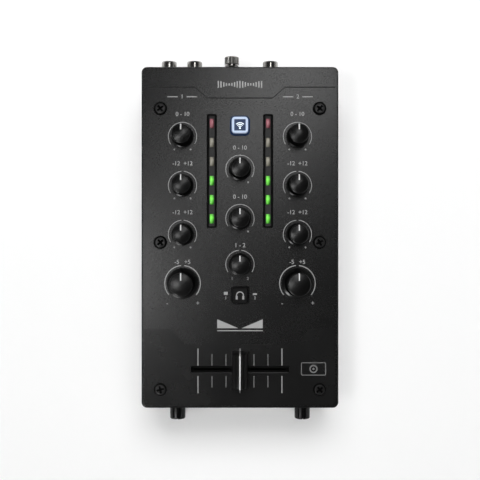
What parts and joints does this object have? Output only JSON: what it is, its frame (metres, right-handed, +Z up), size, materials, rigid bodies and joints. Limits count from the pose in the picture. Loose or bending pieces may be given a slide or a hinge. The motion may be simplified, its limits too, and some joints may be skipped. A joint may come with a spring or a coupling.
{
  "type": "dj mixer",
  "caption": "Compact DJ mixer: knob columns, LED level meters, push buttons and a crossfader on a steel cover, with phono sockets behind and headphone controls in front.",
  "frame": {"origin": "on the surface that the mixer stands on, under the middle of its box", "axes": "+X to the right of the control face, +Y to the rear edge with the phono sockets, +Z up"},
  "size_m": [0.1056, 0.202, 0.063],
  "materials": {
    "cover_paint": "fine satin charcoal paint",
    "housing_plastic": "fine-grained black ABS",
    "black_screw": "black zinc",
    "brass": "turned",
    "zinc_screw": "zinc plated",
    "white_nylon": "moulded nylon",
    "rubber": "matt rubber",
    "circuit_board": "green solder resist",
    "pot_metal": "pressed steel",
    "meter_black": "smoked plastic",
    "led_red": "unlit diffuse red",
    "led_amber": "unlit diffuse amber",
    "led_green": "lit diffuse green",
    "switch_plastic": "moulded",
    "fader_steel": "folded steel",
    "rail_steel": "ground rod",
    "socket_plastic": "moulded",
    "nickel": "nickel plated",
    "insulator_plastic": "white or red insert",
    "usb_steel": "stainless",
    "ribbon_grey": "flat cable",
    "carriage_plastic": "acetal",
    "knob_plastic": "satin black",
    "shaft_metal": "turned",
    "lit_button": "lit translucent cap",
    "cue_plastic": "satin black"
  },
  "bodies": {
    "chassis": {"top_cover": "cover_paint", "lower_housing": "housing_plastic", "cover_screws": "black_screw", "screw_inserts": "brass", "inner_screws": "zinc_screw", "board_spacers": "white_nylon", "rubber_feet": "rubber", "control_board": "circuit_board", "pot_bodies": "pot_metal", "meter_holders": "meter_black", "red_leds": "led_red", "amber_leds": "led_amber", "green_leds": "led_green", "wireless_switch": "switch_plastic", "cue_switch": "switch_plastic", "fader_frame": "fader_steel", "fader_rails": "rail_steel", "front_board": "circuit_board", "front_pot_bodies": "pot_metal", "jack_sockets": "socket_plastic", "jack_nuts": "nickel", "rear_board": "circuit_board", "rca_housings": "socket_plastic", "rca_shells": "nickel", "rca_insulators": "insulator_plastic", "ground_post": "nickel", "usb_socket": "usb_steel", "ribbon_cables": "ribbon_grey"},
    "gain_control_a": {"gain_knob_a": "knob_plastic", "gain_shaft_a": "shaft_metal"},
    "treble_control_a": {"treble_knob_a": "knob_plastic", "treble_shaft_a": "shaft_metal"},
    "bass_control_a": {"bass_knob_a": "knob_plastic", "bass_shaft_a": "shaft_metal"},
    "filter_control_a": {"filter_knob_a": "knob_plastic", "filter_shaft_a": "shaft_metal"},
    "gain_control_b": {"gain_knob_b": "knob_plastic", "gain_shaft_b": "shaft_metal"},
    "treble_control_b": {"treble_knob_b": "knob_plastic", "treble_shaft_b": "shaft_metal"},
    "bass_control_b": {"bass_knob_b": "knob_plastic", "bass_shaft_b": "shaft_metal"},
    "filter_control_b": {"filter_knob_b": "knob_plastic", "filter_shaft_b": "shaft_metal"},
    "aux_control": {"aux_knob": "knob_plastic", "aux_shaft": "shaft_metal"},
    "main_control": {"main_knob": "knob_plastic", "main_shaft": "shaft_metal"},
    "cue_mix_control": {"cue_mix_knob": "knob_plastic", "cue_mix_shaft": "shaft_metal"},
    "curve_control": {"curve_knob": "knob_plastic", "curve_shaft": "shaft_metal"},
    "phones_control": {"phones_knob": "knob_plastic", "phones_shaft": "shaft_metal"},
    "crossfader": {"fader_carriage": "carriage_plastic", "fader_cap": "knob_plastic"},
    "wireless_push": {"wireless_button": "lit_button"},
    "cue_push": {"cue_button": "cue_plastic"},
    "ground_washer_ring": {"ground_washer": "nickel"},
    "ground_thumb_nut": {"ground_nut": "nickel"}
  },
  "joints": [
    {"name": "gain_turn_a", "type": "hinge", "parent": "chassis", "child": "gain_control_a", "pos_m": [-0.0308, 0.0541, 0.055], "axis": [0, 0, -1], "range_deg": [-150, 150]},
    {"name": "treble_turn_a", "type": "hinge", "parent": "chassis", "child": "treble_control_a", "pos_m": [-0.0308, 0.02785, 0.055], "axis": [0, 0, -1], "range_deg": [-150, 150]},
    {"name": "bass_turn_a", "type": "hinge", "parent": "chassis", "child": "bass_control_a", "pos_m": [-0.0308, 0.0016, 0.055], "axis": [0, 0, -1], "range_deg": [-150, 150]},
    {"name": "filter_turn_a", "type": "hinge", "parent": "chassis", "child": "filter_control_a", "pos_m": [-0.0308, -0.02465, 0.055], "axis": [0, 0, -1], "range_deg": [-150, 150]},
    {"name": "gain_turn_b", "type": "hinge", "parent": "chassis", "child": "gain_control_b", "pos_m": [0.0308, 0.0541, 0.055], "axis": [0, 0, -1], "range_deg": [-150, 150]},
    {"name": "treble_turn_b", "type": "hinge", "parent": "chassis", "child": "treble_control_b", "pos_m": [0.0308, 0.02785, 0.055], "axis": [0, 0, -1], "range_deg": [-150, 150]},
    {"name": "bass_turn_b", "type": "hinge", "parent": "chassis", "child": "bass_control_b", "pos_m": [0.0308, 0.0016, 0.055], "axis": [0, 0, -1], "range_deg": [-150, 150]},
    {"name": "filter_turn_b", "type": "hinge", "parent": "chassis", "child": "filter_control_b", "pos_m": [0.0308, -0.02465, 0.055], "axis": [0, 0, -1], "range_deg": [-150, 150]},
    {"name": "aux_turn", "type": "hinge", "parent": "chassis", "child": "aux_control", "pos_m": [0, 0.0365, 0.055], "axis": [0, 0, -1], "range_deg": [-150, 150]},
    {"name": "main_turn", "type": "hinge", "parent": "chassis", "child": "main_control", "pos_m": [0, 0.0101, 0.055], "axis": [0, 0, -1], "range_deg": [-150, 150]},
    {"name": "cue_mix_turn", "type": "hinge", "parent": "chassis", "child": "cue_mix_control", "pos_m": [0, -0.0145, 0.055], "axis": [0, 0, -1], "range_deg": [-150, 150]},
    {"name": "curve_turn", "type": "hinge", "parent": "chassis", "child": "curve_control", "pos_m": [-0.0348, -0.0955, 0.028], "axis": [0, 1, 0], "range_deg": [-150, 150]},
    {"name": "phones_turn", "type": "hinge", "parent": "chassis", "child": "phones_control", "pos_m": [0.0348, -0.0955, 0.028], "axis": [0, 1, 0], "range_deg": [-150, 150]},
    {"name": "crossfader_slide", "type": "slide", "parent": "chassis", "child": "crossfader", "axis": [1, 0, 0], "range_m": [-0.0225, 0.0225]},
    {"name": "wireless_press", "type": "slide", "parent": "chassis", "child": "wireless_push", "axis": [0, 0, -1], "range_m": [0, 0.001], "stiffness_N_per_m": 300, "springref_m": -0.001},
    {"name": "cue_press", "type": "slide", "parent": "chassis", "child": "cue_push", "axis": [0, 0, -1], "range_m": [0, 0.002], "stiffness_N_per_m": 300, "springref_m": -0.001},
    {"name": "ground_washer_travel", "type": "slide", "parent": "chassis", "child": "ground_washer_ring", "axis": [0, 1, 0], "range_m": [-0.0028, 0]},
    {"name": "ground_nut_turn", "type": "hinge", "parent": "ground_washer_ring", "child": "ground_thumb_nut", "pos_m": [-0.0046, 0.0985, 0.027], "axis": [0, 1, 0], "range_deg": [-1440, 0]}
  ],
  "couplings": [
    {"joint": "ground_nut_turn", "follows": "ground_washer_travel", "rad_per_m": 8975.9}
  ]
}
